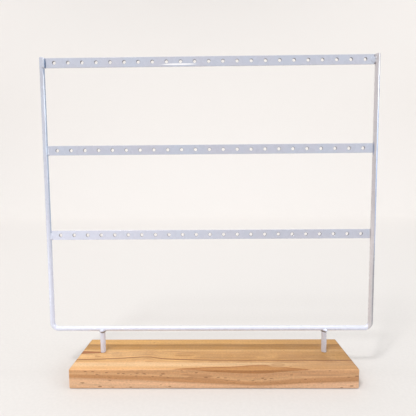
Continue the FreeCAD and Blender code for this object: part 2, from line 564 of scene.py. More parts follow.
def new_material(name: str) -> tuple[Desk, Node, Material]:
    """Starts a material with one shader.

    Args:
        name: The material's name.

    Returns:
        A desk on its nodes, its shader, and the material.
    """
    material = bpy.data.materials.new(name)
    material.use_nodes = True
    desk = Desk(material.node_tree)
    return desk, desk.tree.nodes["Principled BSDF"], material


@dataclass(frozen=True)
class Spot:
    """A spot of another tone: in the coat a painted shade, reflection or highlight, in the wood a mark along
    the grain.

    Attributes:
        centre: Its middle, in millimetres; in the wood along the board and across it.
        reach: Its half sizes the same ways, in millimetres.
        tone: Its colour.
    """

    centre: tuple[float, ...]
    reach: tuple[float, ...]
    tone: Colour


@dataclass(frozen=True)
class PowderCoat:
    """Glossy white powder coat with its faint orange peel.

    The bars and the rod above its lower part carry painted shade, a greyer colour in cloudy bluer patches,
    while painted light makes the rod whiter low down and the lower bar whiter on its left. A warmer painted
    shade lies on the right upright and the right post. The walls of the holes and the corners beside the
    welds and the posts' tops are painted dark as shade, the uprights carry painted bluer and dark reflections
    and a lighter painted patch, and a short painted highlight stands on the top bar's lower edge. Places and
    distances are in millimetres, but for the peel's depth, which is in metres.
    """

    name: str = "white_powder_coat"
    # body is the lit colour; thin and patch are its painted shade, greyer and bluer, on the bars and the
    # upper rod.
    body: Colour = srgb(219, 222, 238)
    thin: Colour = srgb(193, 194, 207)
    patch: Colour = srgb(190, 196, 211)
    # A warmer painted shade on the right upright and the right post.
    warm: Colour = srgb(190, 185, 188)
    # Painted shade on the walls of the holes.
    hole_wall: Colour = srgb(104, 104, 114)
    spots: tuple[Spot, ...] = (
        # Painted shade in the corners beside the welds at the bars' ends.
        Spot((-151.0, 0.6, 293.3), (0.5, 3.0, 5.2), srgb(98, 118, 150)),
        Spot((-152.5, 0.9, 286.4), (0.5, 2.8, 3.4), srgb(138, 150, 176)),
        Spot((151.5, 0.6, 297.1), (1.0, 2.4, 1.3), srgb(140, 138, 148)),
        Spot((151.6, 0.6, 290.4), (1.0, 2.4, 1.1), srgb(124, 122, 132)),
        Spot((152.5, 0.6, 213.4), (0.6, 2.4, 6.2), srgb(148, 156, 176)),
        Spot((152.5, 0.6, 132.8), (0.7, 2.4, 4.6), srgb(160, 160, 172)),
        # A lighter painted patch low on the right upright, and a painted dark reflection on its outer side.
        Spot((153.2, 0.3, 92.0), (2.6, 3.4, 62.0), srgb(203, 197, 199)),
        Spot((156.0, 1.3, 82.0), (1.8, 3.4, 52.0), srgb(152, 150, 155)),
        # Painted bluer reflections on the right upright and along the left upright.
        Spot((156.5, 1.6, 196.0), (1.9, 3.2, 96.0), srgb(184, 200, 234)),
        Spot((-152.3, 2.5, 214.0), (0.5, 2.3, 92.0), srgb(170, 185, 208)),
        # A painted highlight on the top bar's lower edge.
        Spot((-27.6, 1.2, 291.8), (15.5, 3.0, 0.7), srgb(253, 253, 255)),
        # Painted shade at the posts' tops, beside their welds.
        Spot((-104.8, 0.6, 38.9), (3.2, 3.6, 1.0), srgb(138, 133, 135)),
        Spot((108.4, 0.6, 39.3), (3.2, 3.6, 1.0), srgb(132, 126, 124)),
    )
    patch_scale: float = 0.035
    bars_within: float = 151.8
    bars_above: float = 75.0
    # Painted light: the rod goes from the painted shade at the top to the lit colour low down, and the lower
    # bar is lit on its left.
    thinning: Fade = Fade(270.0, 60.0)
    thick_bar_below: float = 150.0
    thick_bar: Fade = Fade(60.0, -130.0, 0.7)
    warm_post_from: Pair = (102.0, 37.5)
    warm_post_share: float = 0.45
    edge_softness: float = 0.5
    hole_edge: Pair = (0.34, 0.1)
    roughness: Pair = (0.24, 0.31)
    roughness_scale: float = 0.12
    gloss: float = 0.9
    gloss_roughness: float = 0.07
    peel: Triple = (0.55, 2.4, 0.25)
    peel_strength: float = 0.6
    peel_depth: float = 0.006 * MM

    def make(self, effects: Effects) -> Material:
        """Builds the material."""
        desk, shader, material = new_material(self.name)
        place = desk.object_mm()
        x, _, z = desk.split(place)
        # Painted shade on the bars and the upper rod, with painted light low on the rod and on the lower
        # bar's left.
        below_bars = self._past(z, self.bars_above, -1)
        off_bars = desk.math("MAXIMUM", self._past(abs(x), self.bars_within), below_bars)
        lit_low_bar_left = self._past(z, self.thick_bar_below, -1) * self.thick_bar.straight(x)
        # thick is the share of the lit colour over the painted shade.
        thick = desk.math("MAXIMUM", off_bars * self.thinning.straight(z), lit_low_bar_left)
        patchy = desk.mix(effects.mottled(place, self.patch_scale), self.thin, self.patch)
        colour = desk.mix(thick, patchy, self.body)
        # Painted warm shade on the right upright and on the right post below its top.
        post_x, post_z = self.warm_post_from
        post_shade_mask = self._past(x, post_x) * self._past(z, post_z, -1) * self.warm_post_share
        colour = desk.mix(desk.math("MAXIMUM", self._past(x, self.bars_within), post_shade_mask), colour, self.warm)
        # Painted shade in the holes.
        colour = desk.mix(self._in_holes(x, z), colour, self.hole_wall)
        # Painted shade, painted reflections and a painted highlight, spot by spot.
        for spot in self.spots:
            colour = desk.mix(effects.spot(place, spot.centre, spot.reach), colour, spot.tone)
        desk.feed(shader.inputs["Base Color"], colour)
        desk.feed(shader.inputs["Roughness"], effects.mottled(place, self.roughness_scale, *self.roughness))
        shader.inputs["Coat Weight"].default_value = self.gloss
        shader.inputs["Coat Roughness"].default_value = self.gloss_roughness
        desk.emboss(shader, effects.rough(place, *self.peel), self.peel_strength, self.peel_depth)
        return material

    def _past(self, value: Wire, limit: float, way: int = 1) -> Wire:
        """Tells where a value lies past a limit, with a soft edge; way is -1 for below it."""
        return value.ease(limit - self.edge_softness * way, limit + self.edge_softness * way)

    def _in_holes(self, x: Wire, z: Wire) -> Wire:
        """Finds the walls of the bars' holes, where shade is painted, by their distance from the nearest
        hole's middle.
        """
        lowest, highest = (Space.of(level.value).middle.z / MM for level in (Level.LOWER, Level.TOP))
        from_x = self._from_nearest(x, 0.0, HOLE_PITCH / MM)
        from_z = self._from_nearest(z, lowest, (highest - lowest) / (len(Level) - 1))
        outer, inner = (HOLE_RADIUS / MM + edge for edge in self.hole_edge)
        near = x.desk.distance(from_x, from_z).ease(outer, inner)
        return near * x.desk.math("LESS_THAN", abs(x), HOLE_PITCH / MM * HOLE_COUNT / 2)

    def _from_nearest(self, value: Wire, first: float, pitch: float) -> Wire:
        """Measures how far a value lies from the nearest place of a row."""
        steps = (value - first) / pitch
        return (steps - value.desk.math("ROUND", steps)) * pitch


@dataclass(frozen=True)
class ZincPlate:
    """Zinc-plated steel with faint turning marks and dull patches."""

    name: str = "zinc_plate"
    bright: Colour = srgb(196, 197, 194)
    dull: Colour = srgb(168, 167, 160)
    patch_scale: float = 0.9
    roughness: Pair = (0.28, 0.5)
    roughness_scale: float = 2.0
    marks: Triple = (4.0, 14.0, 0.6)
    mark_strength: float = 0.5
    mark_depth: float = 0.01 * MM

    def make(self, effects: Effects) -> Material:
        """Builds the material."""
        desk, shader, material = new_material(self.name)
        place = desk.object_mm()
        patches = effects.mottled(place, self.patch_scale)
        desk.feed(shader.inputs["Base Color"], desk.mix(patches, self.bright, self.dull))
        shader.inputs["Metallic"].default_value = 1.0
        desk.feed(shader.inputs["Roughness"], effects.mottled(place, self.roughness_scale, *self.roughness))
        desk.emboss(shader, effects.rough(place, *self.marks), self.mark_strength, self.mark_depth)
        return material


@dataclass(frozen=True)
class Band:
    """One band of the board's lengthwise grain.

    Attributes:
        place: Where its colour is purest, in millimetres across the board: from the middle of the top
            to the back is positive, and the front face goes on below the top's front edge.
        colour: Its colour.
    """

    place: float
    colour: Colour


@dataclass(frozen=True)
class Tint:
    """Another colour that a band takes on towards one end of the board.

    Attributes:
        front: How it sets in at the band's front side.
        back: How it sets in at the band's back side.
        along: How it sets in along the board.
        colour: Its colour.
    """

    front: Fade
    back: Fade
    along: Fade
    colour: Colour


@dataclass(frozen=True)
class Figure:
    """Noise that is drawn out along the grain.

    Attributes:
        along: How quickly it changes along the board, for each millimetre.
        over: How quickly it changes across the board.
        detail: How many finer layers it has.
        roughness: How strong the finer layers are.
    """

    along: float
    over: float
    detail: float = 2.0
    roughness: float = 0.5

    def lay(self, x: Wire, across: Wire) -> Wire:
        """Lays the noise over the board."""
        vector = x.desk.combine(x * self.along, across * self.over)
        return x.desk.noise(vector, 1.0, self.detail, self.roughness)


@dataclass(frozen=True)
class OiledWood:
    """Oiled hardwood whose grain runs along the board and over its front edge.

    Places and distances are in millimetres along the board or across it, but for the relief's depth, which is
    in metres. Scales and figures count for each millimetre.
    """

    board: Space
    name: str = "oiled_wood"
    bands: tuple[Band, ...] = (
        Band(-46.3, srgb(230, 182, 138)), Band(-42.0, srgb(234, 190, 150)), Band(-37.6, srgb(230, 184, 142)),
        Band(-36.4, srgb(214, 164, 120)), Band(-35.8, srgb(196, 142, 92)), Band(-33.2, srgb(201, 148, 98)),
        Band(-32.6, srgb(224, 176, 126)), Band(-30.8, srgb(209, 158, 109)), Band(-28.6, srgb(213, 162, 112)),
        Band(-27.6, srgb(231, 179, 124)), Band(-24.0, srgb(233, 185, 132)), Band(-21.8, srgb(233, 195, 153)),
        Band(-17.6, srgb(232, 192, 148)), Band(-16.4, srgb(222, 172, 118)), Band(-15.3, srgb(228, 180, 122)),
        Band(-14.4, srgb(234, 188, 128)), Band(-12.6, srgb(216, 166, 106)), Band(-6.0, srgb(222, 174, 114)),
        Band(-1.0, srgb(214, 164, 106)), Band(2.6, srgb(220, 172, 114)), Band(4.2, srgb(228, 182, 124)),
        Band(6.0, srgb(224, 178, 118)), Band(6.8, srgb(191, 142, 76)), Band(16.4, srgb(191, 142, 76)),
        Band(18.2, srgb(219, 170, 104)), Band(28.3, srgb(216, 168, 102)),
    )
    tints: tuple[Tint, ...] = (
        Tint(Fade(-13.2, -12.0), Fade(3.0, 0.5), Fade(-15.0, -75.0, 0.7), srgb(240, 194, 140)),
        Tint(Fade(-13.2, -12.0), Fade(3.0, 0.5), Fade(70.0, 115.0), srgb(204, 158, 98)),
        Tint(Fade(-29.2, -27.6), Fade(-13.0, -16.0), Fade(40.0, 95.0, 0.85), srgb(212, 164, 114)),
    )
    # Painted light: the top and the front face are lit apart, lighter at the left end and shaded at the
    # right.
    top_left: Colour = (0.88, 0.85, 0.77, 1.0)
    top_right: Colour = (0.67, 0.62, 0.52, 1.0)
    front_left: Colour = (0.96, 0.94, 0.92, 1.0)
    front_right: Colour = (0.93, 0.91, 0.93, 1.0)
    left_to_right: Fade = Fade(-130.0, 131.0)
    top_from: Fade = Fade(-29.5, -27.5)
    swing: float = 10.0
    swell: Pairs = (
        (-130, 1.0), (-126, 1.3), (-103, 2.5), (-86, 3.7), (-74, 5.0), (-59, 6.1), (-53, 4.7), (-40, 2.4),
        (-21, 1.1), (4, 0.2), (51, 0.0), (135, -0.1),
    )
    swell_front: Fade = Fade(-17.5, -9.0)
    swell_back: Fade = Fade(6.0, -8.0)
    sag: Pairs = (
        (-130, 0.4), (-100, -0.6), (-60, -2.2), (0, -4.9), (38, -6.5), (80, -4.9), (135, -2.9),
    )
    sag_from: Fade = Fade(-28.5, -39.5)
    ripple: Figure = Figure(0.02, 0.09)
    ripple_height: float = 1.2
    heart: Colour = srgb(196, 140, 80)
    heart_edge: Colour = srgb(178, 118, 62)
    heart_low: Colour = srgb(177, 119, 62)
    heart_level: float = -27.0
    heart_top: Pairs = (
        (-130, -1.5), (-40, -1.5), (-32, -0.2), (-11, 1.6), (-5, 2.0), (22, 3.5), (36, 5.4), (49, 6.2),
        (63, 3.2), (74, 1.0), (84, -0.4), (95, -2.0), (135, -2.0),
    )
    heart_bottom: Pairs = (
        (-130, 0.0), (-40, 0.0), (-32, -1.1), (-11, -2.3), (-5, -3.0), (13, -4.3), (33, -5.1), (49, -4.9),
        (62, -3.6), (73, -2.6), (84, -2.0), (95, -0.8), (135, -0.8),
    )
    heart_wobble: Figure = Figure(0.05, 0.3, 3.0)
    heart_wobble_height: float = 1.4
    heart_inside: Fade = Fade(-0.25, 0.35, 0.9)
    heart_edge_inside: Fade = Fade(1.9, 0.9)
    heart_low_inside: Fade = Fade(3.6, 1.8)
    growth_line: Colour = srgb(134, 80, 34)
    line_level: float = -13.5
    line_width: Fade = Fade(1.25, 0.4, 0.85)
    side_lines: Pairs = (
        (2.1, 0.35), (4.2, 0.45), (6.3, 0.35), (8.4, 0.35), (10.6, 0.25), (-1.9, 0.3), (-3.6, 0.3),
    )
    side_line_width: Fade = Fade(1.2, 0.2)
    side_line_wave: Figure = Figure(0.04, 0.05)
    side_line_wave_height: float = 5.0
    side_line_fade: Fade = Fade(0.35, 0.6)
    streak: Colour = srgb(164, 98, 48)
    streak_level: float = 1.1
    streak_reach: Shift = (-127.0, -106.0, 2.9, 1.0)
    streak_edge: Fade = Fade(-0.5, 0.5, 0.9)
    streak_end: Fade = Fade(-100.0, -107.0)
    streaks: Figure = Figure(0.018, 0.8, 3.0, 0.6)
    streaks_tone: Shift = (0.25, 0.75, 0.88, 1.08)
    broad_streaks: Figure = Figure(0.012, 0.3)
    broad_tone: Shift = (0.3, 0.7, -0.06, 0.05)
    fibres: Figure = Figure(0.1, 3.6, 3.0, 0.6)
    fibres_tone: Shift = (0.25, 0.75, -0.08, 0.06)
    grit: Figure = Figure(0.5, 0.6, 2.0, 0.7)
    grit_tone: Shift = (0.25, 0.75, -0.13, 0.13)
    pore: Colour = srgb(140, 92, 56)
    pore_cell: Pair = (6.5, 1.5)
    pore_clusters: Figure = Figure(0.03, 0.06, 1.0)
    pore_cluster_chance: Shift = (0.4, 0.6, 0.5, 1.5)
    pore_chance: Shift = (-27.0, -29.5, 0.03, 0.12)
    pore_size: Pair = (0.12, 0.16)
    pore_edge: Fade = Fade(0.0, 0.12)
    pore_depth_of_tone: float = 0.6
    flecks: tuple[Spot, ...] = (
        Spot((-38.0, 2.2), (10.0, 0.8), srgb(192, 142, 84)),
        Spot((-21.0, 0.4), (10.0, 0.9), srgb(192, 142, 84)),
        Spot((-25.5, -5.2), (10.0, 1.1), srgb(182, 130, 72)),
        Spot((-57.0, -15.6), (4.0, 0.8), srgb(198, 146, 88)),
        Spot((-108.0, -6.2), (2.8, 0.8), srgb(188, 138, 80)),
        Spot((83.0, -7.8), (15.0, 0.8), srgb(184, 136, 84)),
        Spot((61.0, -21.0), (9.0, 3.6), srgb(222, 184, 140)),
        Spot((61.0, -21.0), (6.2, 2.4), srgb(190, 142, 96)),
        Spot((61.0, -21.0), (4.0, 1.4), srgb(216, 176, 130)),
        Spot((-21.0, -33.4), (6.0, 0.45), srgb(170, 118, 72)),
        Spot((-17.5, -35.3), (3.4, 0.4), srgb(176, 122, 76)),
        Spot((-2.6, -35.2), (5.0, 0.55), srgb(168, 114, 70)),
        Spot((-9.0, -34.2), (10.0, 1.4), srgb(188, 138, 92)),
        Spot((96.0, -33.6), (22.0, 0.9), srgb(188, 140, 98)),
    )
    fleck_strength: float = 0.7
    open_pores: Pairs = (
        (-111.6, -30.1), (-105.0, -30.2), (-92.6, -31.0), (-82.1, -31.8), (-77.7, -32.1), (-65.4, -31.8),
        (-59.2, -32.1), (-44.3, -33.7), (-66.3, -34.3), (-37.8, -35.9), (-101.1, -32.9), (-89.8, -38.5),
        (-87.3, -44.7), (-71.4, -44.6), (-36.6, -44.0), (6.7, -35.8), (13.0, -36.1), (24.7, -38.1),
        (37.4, -38.7), (48.2, -37.7), (53.5, -36.6), (71.5, -33.4), (83.7, -37.5), (121.8, -35.6),
        (115.7, -45.0),
    )
    open_pore_reach: Pair = (1.4, 0.42)
    large_pores: Pairs = (
        (-42.5, -32.3), (-114.4, -40.7), (-98.8, -44.0), (128.9, -34.6), (124.5, -43.6), (-4.2, -35.6),
    )
    large_pore_reach: Pair = (1.7, 0.62)
    open_pore_strength: float = 0.65
    end_light: Colour = srgb(214, 160, 108)
    end_dark: Colour = srgb(170, 112, 66)
    end_facing: Fade = Fade(0.6, 0.9)
    pith: Pair = (-30.0, -46.0)
    rings_per_mm: float = 1.5
    ring_wobble: Pair = (0.06, 9.0)
    ring_edges: Fade = Fade(-0.9, 1.0)
    speck_scale: float = 2.2
    specks: Fade = Fade(0.56, 0.72, 0.35)
    roughness: Pair = (0.40, 0.54)
    roughness_scale: float = 0.05
    pore_roughness: float = 0.2
    oil: float = 0.06
    oil_roughness: float = 0.35
    relief: Triple = (0.8, 3.0, 0.4)
    fibre_height: float = 0.8
    pore_height: float = 2.0
    relief_strength: float = 0.5
    relief_depth: float = 0.03 * MM

    def make(self, effects: Effects) -> Material:
        """Builds the material."""
        desk, shader, material = new_material(self.name)
        place = desk.object_mm()
        x, y, z = desk.split(place)
        across = y + z - self.board.high.z / MM
        swell = desk.path(x, self.swing, self.swell)
        grain = self._bent_grain(x, across, swell)
        colour = self._banded(x, grain)
        colour = self._with_heart(x, across, colour)
        colour = self._with_lines(x, across, swell, colour)
        fibres = self.fibres.lay(x, grain)
        colour = desk.scaled(colour, self._streaked(x, grain, across, fibres))
        pores = self._fine_pores(x, grain, across)
        colour = desk.mix(pores * self.pore_depth_of_tone, colour, self.pore)
        colour = self._with_flecks(effects, x, across, colour)
        # Painted light on the top and the front, darker towards the right.
        colour = self._toned(x, across, colour)
        colour = self._with_ends(y, z, place, colour)
        desk.feed(shader.inputs["Base Color"], colour)
        gloss = effects.mottled(place, self.roughness_scale, *self.roughness)
        desk.feed(shader.inputs["Roughness"], gloss + pores * self.pore_roughness)
        shader.inputs["Coat Weight"].default_value = self.oil
        shader.inputs["Coat Roughness"].default_value = self.oil_roughness
        height = fibres * self.fibre_height + effects.rough(place, *self.relief) - pores * self.pore_height
        desk.emboss(shader, height, self.relief_strength, self.relief_depth)
        return material

    def _bent_grain(self, x: Wire, across: Wire, swell: Wire) -> Wire:
        """Bends the grain: a swell on the top and a long sag down the front face."""
        near_swell = self.swell_front.straight(across) * self.swell_back.straight(across)
        sag = x.desk.path(x, self.swing, self.sag) * self.sag_from.straight(across)
        ripple = (self.ripple.lay(x, across) - 0.5) * self.ripple_height
        return across - (swell * near_swell + sag + ripple)

    def _banded(self, x: Wire, grain: Wire) -> Wire:
        """Colours the bands across the grain, of which two change their colour along the board."""
        first, last = self.bands[0].place, self.bands[-1].place
        stops = [((band.place - first) / (last - first), band.colour) for band in self.bands]
        colour = x.desk.ramp((grain - first) / (last - first), stops)
        for tint in self.tints:
            within = tint.front.over(grain) * tint.back.over(grain)
            colour = x.desk.mix(within * tint.along.over(x), colour, tint.colour)
        return colour

    def _toned(self, x: Wire, across: Wire, colour: Wire) -> Wire:
        """Multiplies in painted light: its own for the top and for the front face, from a lit left to a
        shaded right.
        """
        along = self.left_to_right.straight(x)
        top = x.desk.mix(along, self.top_left, self.top_right)
        front = x.desk.mix(along, self.front_left, self.front_right)
        tint = x.desk.mix(self.top_from.straight(across), front, top)
        return x.desk.mix(1.0, colour, tint, "MULTIPLY")

    def _with_heart(self, x: Wire, across: Wire, colour: Wire) -> Wire:
        """Lays in the long flame of darker wood that crosses the front edge."""
        wobble = (self.heart_wobble.lay(x, across) - 0.5) * self.heart_wobble_height
        bent = wobble + (across - self.heart_level)
        below_top = x.desk.path(x, self.swing, self.heart_top) - bent
        above_bottom = bent - x.desk.path(x, self.swing, self.heart_bottom)
        flame = x.desk.mix(self.heart_edge_inside.over(below_top), self.heart, self.heart_edge)
        flame = x.desk.mix(self.heart_low_inside.over(above_bottom), flame, self.heart_low)
        inside = self.heart_inside.over(x.desk.math("MINIMUM", below_top, above_bottom))
        return x.desk.mix(inside, colour, flame)

    def _with_lines(self, x: Wire, across: Wire, swell: Wire, colour: Wire) -> Wire:
        """Draws the dark growth line along the top, its faint side lines and the short red streak."""
        level = swell + self.line_level
        colour = x.desk.mix(self.line_width.over(abs(across - level)), colour, self.growth_line)
        wave = self.side_line_wave.lay(x, across)
        fade = self.side_line_fade.over(wave)
        for offset, strength in self.side_lines:
            bent = (wave - 0.5) * self.side_line_wave_height + (level + offset)
            line = self.side_line_width.over(abs(across - bent)) * (fade * strength)
            colour = x.desk.mix(line, colour, self.growth_line)
        inside = x.slide(*self.streak_reach) - abs(across - self.streak_level)
        return x.desk.mix(self.streak_edge.over(inside) * self.streak_end.over(x), colour, self.streak)

    def _streaked(self, x: Wire, grain: Wire, across: Wire, fibres: Wire) -> Wire:
        """Works out how much lighter or darker the streaks, the fibres and the grit make the wood."""
        tone = self.streaks.lay(x, grain).ease(*self.streaks_tone) + fibres.ease(*self.fibres_tone)
        tone = tone + self.broad_streaks.lay(x, grain).ease(*self.broad_tone)
        return tone + self.grit.lay(x, across).slide(*self.grit_tone)

    def _fine_pores(self, x: Wire, grain: Wire, across: Wire) -> Wire:
        """Scatters short pores along the grain, more of them on the front face and in clusters."""
        desk = x.desk
        length, width = self.pore_cell
        cells = desk.put("TexVoronoi", desk.combine(x / length, grain / width), voronoi_dimensions="2D")
        cells.inputs["Scale"].default_value = 1.0
        chance, size, _ = desk.split(Wire(desk, cells.outputs["Color"]))
        clusters = self.pore_clusters.lay(x, across).ease(*self.pore_cluster_chance)
        kept = desk.math("LESS_THAN", chance, across.ease(*self.pore_chance) * clusters)
        smallest, spread = self.pore_size
        reach = size * spread + smallest
        return kept * self.pore_edge.over(reach - Wire(desk, cells.outputs["Distance"]))

    def _with_flecks(self, effects: Effects, x: Wire, across: Wire, colour: Wire) -> Wire:
        """Adds the single marks and the open pores that show most."""
        board = x.desk.combine(x, across)
        for fleck in self.flecks:
            mask = effects.spot(board, (*fleck.centre, 0), (*fleck.reach, 1))
            colour = x.desk.mix(mask * self.fleck_strength, colour, fleck.tone)
        rows = ((self.open_pores, self.open_pore_reach), (self.large_pores, self.large_pore_reach))
        for places, reach in rows:
            for place in places:
                mask = effects.spot(board, (*place, 0), (*reach, 1))
                colour = x.desk.mix(mask * self.open_pore_strength, colour, self.pore)
        return colour

    def _with_ends(self, y: Wire, z: Wire, place: Wire, colour: Wire) -> Wire:
        """Shows growth rings on the two sawn ends."""
        desk = y.desk
        facing, _, _ = desk.split(desk.coordinates("Normal"))
        pith_y, pith_z = self.pith
        wobble_scale, wobble_height = self.ring_wobble
        wobble = desk.noise(place, wobble_scale) * wobble_height
        rings = desk.math("SINE", wobble + desk.distance(y - pith_y, z - pith_z) * self.rings_per_mm)
        pattern = desk.mix(self.ring_edges.over(rings), self.end_light, self.end_dark)
        pattern = desk.mix(self.specks.over(desk.noise(place, self.speck_scale)), pattern, self.pore)
        return desk.mix(self.end_facing.over(abs(facing)), colour, pattern)


# The stand's pieces


@dataclass(frozen=True)
class Finishes:
    """The stand's materials, one for each finish."""

    coat: Material
    wood: Material
    zinc: Material

    def dress(self, piece: Piece, node: str, material: Material) -> None:
        """Names and paints a finished piece, and lets it stand for its node.

        Args:
            piece: The finished piece.
            node: The node of the frame that it replaces.
            material: Its material.
        """
        piece.name = node + "_shown"
        piece.data.name = piece.name
        piece.data.materials.clear()
        piece.data.materials.append(material)
        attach(piece, ROOT_BODY)
        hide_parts(node)
        LOG.info("%s: %d faces", piece.name, len(piece.data.polygons))

    def paint(self, piece: Piece, node: str) -> None:
        """Powder-coats a piece."""
        self.dress(piece, node, self.coat)

    def oil(self, piece: Piece, node: str) -> None:
        """Gives a piece the oiled wood."""
        self.dress(piece, node, self.wood)

    def plate(self, piece: Piece, node: str) -> None:
        """Zinc-plates a piece."""
        self.dress(piece, node, self.zinc)


@dataclass
class WoodenBase:
    """The base block with eased edges and a counterbored screw hole under each post."""

    board: Space
    post_places: list[Vector]
    corner_rounding: float = 1.4 * MM
    corner_segments: int = 6
    top_rounding: float = 0.7 * MM
    top_segments: int = 5
    bottom_bevel: float = 0.4 * MM
    bottom_segments: int = 2
    hole_radius: float = 1.7 * MM
    hole_segments: int = 32
    counterbore_radius: float = 4.0 * MM
    counterbore_depth: float = 5.0 * MM
    overcut: float = 1.0 * MM
    touch: float = 0.001 * MM

    def build(self, finishes: Finishes) -> None:
        """Models and finishes the block."""
        piece = block(self.board.low, self.board.high)
        self._round_corners(piece)
        self._ease_rim(piece, self.board.high.z, self.top_rounding, self.top_segments)
        self._ease_rim(piece, self.board.low.z, self.bottom_bevel, self.bottom_segments)
        height = self.board.size.z + self.overcut
        hole = [(self.hole_radius, -self.overcut), (self.hole_radius, height)]
        bore = [(self.counterbore_radius, -self.overcut), (self.counterbore_radius, self.counterbore_depth)]
        for place in self.post_places:
            below = Vector((place.x, place.y, 0))
            drill(piece, turned(below, hole, self.hole_segments))
            drill(piece, turned(below, bore))
        smooth_shade(piece)
        finishes.oil(piece, "base_board")

    def _round_corners(self, piece: Piece) -> None:
        """Rounds the four upright corners."""
        for edge in piece.data.edges:
            ends = [piece.data.vertices[i].co for i in edge.vertices]
            edge.select = abs(ends[0].z - ends[1].z) > self.board.size.z / 2
        self._bevel(piece, self.corner_rounding, self.corner_segments)

    def _ease_rim(self, piece: Piece, height: float, width: float, segments: int) -> None:
        """Eases the edges all round the top or the bottom face."""
        for polygon in piece.data.polygons:
            polygon.select = False
        for edge in piece.data.edges:
            edge.select = all(abs(piece.data.vertices[i].co.z - height) < self.touch for i in edge.vertices)
        self._bevel(piece, width, segments)

    def _bevel(self, piece: Piece, width: float, segments: int) -> None:
        """Bevels the edges that are selected in the piece's mesh."""
        with editing(piece):
            bpy.ops.mesh.select_mode(type="EDGE")
            bpy.ops.mesh.bevel(offset=width, segments=segments, affect="EDGES")


@dataclass
class BentFrame:
    """The round rod bent into a U: two uprights and the run between them."""

    rod: Space
    bend_radius: float = 6.0 * MM
    end_rounding: float = 0.6 * MM
    segments: int = 40
    bend_steps: int = 14

    @property
    def radius(self) -> float:
        """Radius of the rod."""
        return self.rod.size.y / 2

    @property
    def upright_x(self) -> float:
        """Distance of the uprights' centre lines from the middle."""
        return self.rod.high.x - self.radius

    @property
    def run_z(self) -> float:
        """Height of the bottom run's centre line."""
        return self.rod.low.z + self.radius

    def build(self, finishes: Finishes) -> None:
        """Models the rod from the left upright's top round to the right one's."""
        plane_y = self.rod.middle.y
        bend_x = self.upright_x - self.bend_radius
        bend_z = self.run_z + self.bend_radius
        drop = self.rod.high.z - bend_z
        deselect()
        bpy.ops.mesh.primitive_circle_add(
            vertices=self.segments, radius=self.radius, fill_type="NGON",
            location=(-self.upright_x, plane_y, self.rod.high.z),
        )
        piece = bpy.context.object
        fix_place(piece)
        with editing(piece):
            bpy.ops.mesh.select_all(action="SELECT")
            bpy.ops.mesh.extrude_region_move(TRANSFORM_OT_translate={"value": (0, 0, -drop)})
            self._bend(Vector((-bend_x, plane_y, bend_z)))
            bpy.ops.mesh.extrude_region_move(TRANSFORM_OT_translate={"value": (2 * bend_x, 0, 0)})
            self._bend(Vector((bend_x, plane_y, bend_z)))
            bpy.ops.mesh.extrude_region_move(TRANSFORM_OT_translate={"value": (0, 0, drop)})
        weld_doubles(piece)
        ease_edges(piece, self.end_rounding, segments=5, angle=60.0)
        finishes.paint(piece, "frame_rod")

    def _bend(self, centre: Vector) -> None:
        """Carries the rod's open end round a quarter turn."""
        bpy.ops.mesh.spin(steps=self.bend_steps, angle=math.pi / 2, center=centre, axis=(0, 1, 0))


@dataclass
class PunchedBars:
    """The three flat bars, each with its row of holes."""

    edge_rounding: float = 0.32 * MM
    overcut: float = 1.0 * MM

    def build(self, finishes: Finishes) -> None:
        """Models one bar and copies it to the other two heights."""
        first = Space.of(Level.LOWER.value)
        bar = block(first.low, first.high)
        drill(bar, self._punch(first))
        ease_edges(bar, self.edge_rounding, segments=4)
        for level in Level:
            rise = Space.of(level.value).middle - first.middle
            piece = bar if level is Level.LOWER else copy_to(bar, rise)
            finishes.paint(piece, level.value)

    def _punch(self, bar: Space) -> Piece:
        """Makes the row of pins that cuts a bar's holes."""
        first_x = bar.middle.x - HOLE_PITCH * (HOLE_COUNT - 1) / 2
        deselect()
        bpy.ops.mesh.primitive_cylinder_add(
            vertices=36, radius=HOLE_RADIUS, depth=bar.size.y + 2 * self.overcut,
            location=(first_x, bar.middle.y, bar.middle.z), rotation=(math.pi / 2, 0, 0),
        )
        pin = bpy.context.object
        fix_place(pin)
        modify(
            pin, "ARRAY", count=HOLE_COUNT, use_relative_offset=False, use_constant_offset=True,
            constant_offset_displace=(HOLE_PITCH, 0, 0),
        )
        return pin


@dataclass
class Post:
    """A short post between the base and the bottom run."""

    side: Side
    run_z: float
    foot_rounding: float = 0.45 * MM

    @property
    def node(self) -> str:
        """The post's node in the frame."""
        return self.side.word + "_post"

    @property
    def space(self) -> Space:
        """The post's own box."""
        return Space.of(self.node)

    def build(self, finishes: Finishes) -> None:
        """Models the post up into the bottom run, with a rounded foot."""
        space = self.space
        radius = space.size.x / 2
        piece = turned(space.foot, [(radius, 0.0), (radius, self.run_z - space.low.z)])
        ease_edges(piece, self.foot_rounding, segments=4, angle=60.0)
        finishes.paint(piece, self.node)


@dataclass(frozen=True)
class Drop:
    """One drop of weld metal.

    Attributes:
        place: Its middle, from the joint.
        radii: Its half sizes along X, Y and Z.
    """

    place: Vector
    radii: Vector


@dataclass
class WeldBead:
    """A painted-over bead of weld metal, run together from single drops."""

    node: str
    joint: Vector
    drops: list[Drop]
    grain_size: float = 0.22 * MM

    def build(self, finishes: Finishes) -> None:
        """Models the drops and melts them into one bead."""
        shapes = []
        for drop in self.drops:
            deselect()
            bpy.ops.mesh.primitive_uv_sphere_add(
                segments=20, ring_count=12, radius=1, location=self.joint + drop.place, scale=drop.radii
            )
            shapes.append(bpy.context.object)
            fix_place(shapes[-1])
        piece = join(shapes)
        modify(piece, "REMESH", mode="VOXEL", voxel_size=self.grain_size, use_smooth_shade=True)
        modify(piece, "SMOOTH", factor=0.6, iterations=4)
        weld_doubles(piece)
        pick(piece)
        bpy.ops.object.shade_smooth()
        finishes.paint(piece, self.node)


